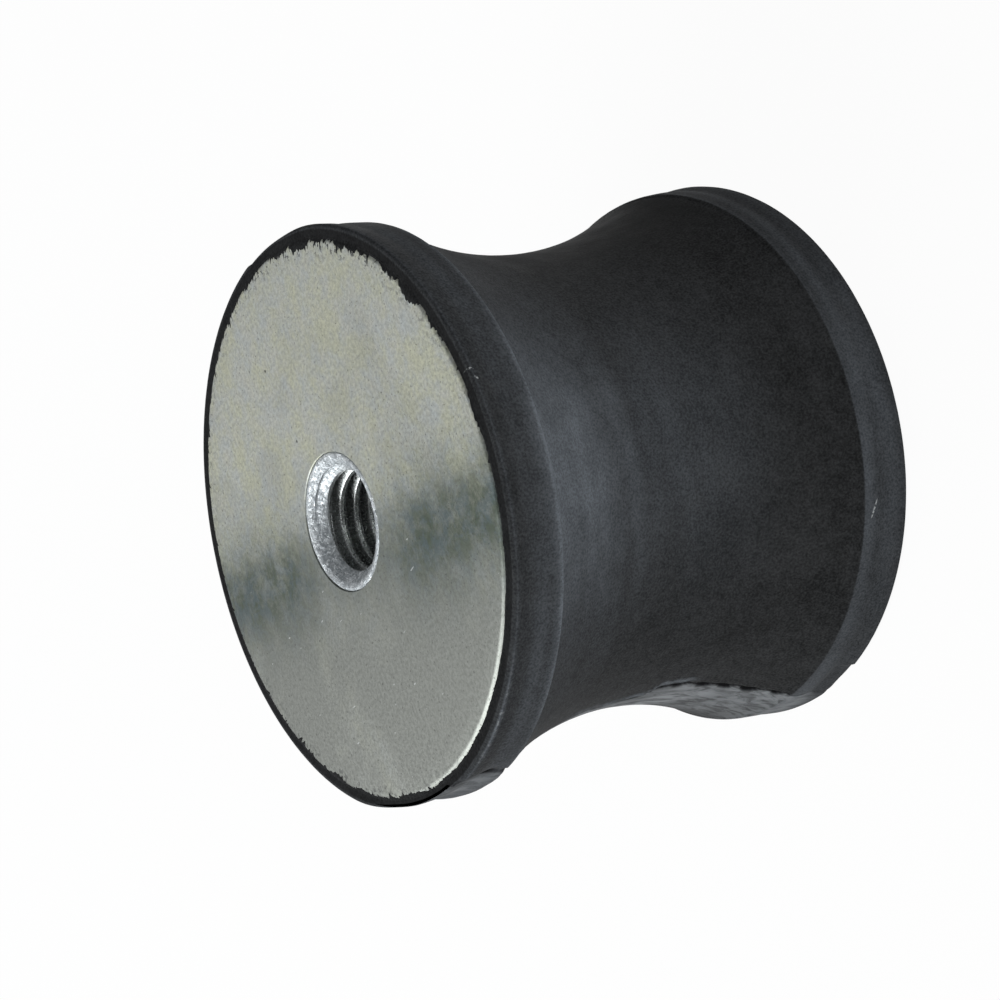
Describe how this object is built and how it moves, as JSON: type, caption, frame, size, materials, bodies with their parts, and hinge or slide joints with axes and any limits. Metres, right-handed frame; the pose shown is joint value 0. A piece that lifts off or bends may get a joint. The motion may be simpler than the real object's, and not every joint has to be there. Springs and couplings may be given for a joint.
{
  "type": "bobbin vibration mount",
  "caption": "Waisted rubber bobbin mount that isolates vibration, bonded between round steel end plates with a threaded bush in each end.",
  "frame": {"origin": "middle of the bottom plate's outer face", "axes": "+Z along the mount's axis from the bottom plate to the top plate; the rubber's mould seams lie at +X and -X"},
  "size_m": [0.0604, 0.06, 0.05],
  "materials": {
    "rubber": "moulded natural rubber, satin black",
    "plate_steel": "zinc plated and passivated sheet steel, dull with faint green and yellow clouds",
    "bush_steel": "turned and zinc plated steel, bright"
  },
  "bodies": {
    "root": {"rubber_body": "rubber", "top_plate": "plate_steel", "bottom_plate": "plate_steel", "top_threaded_bush": "bush_steel", "bottom_threaded_bush": "bush_steel"}
  },
  "joints": []
}
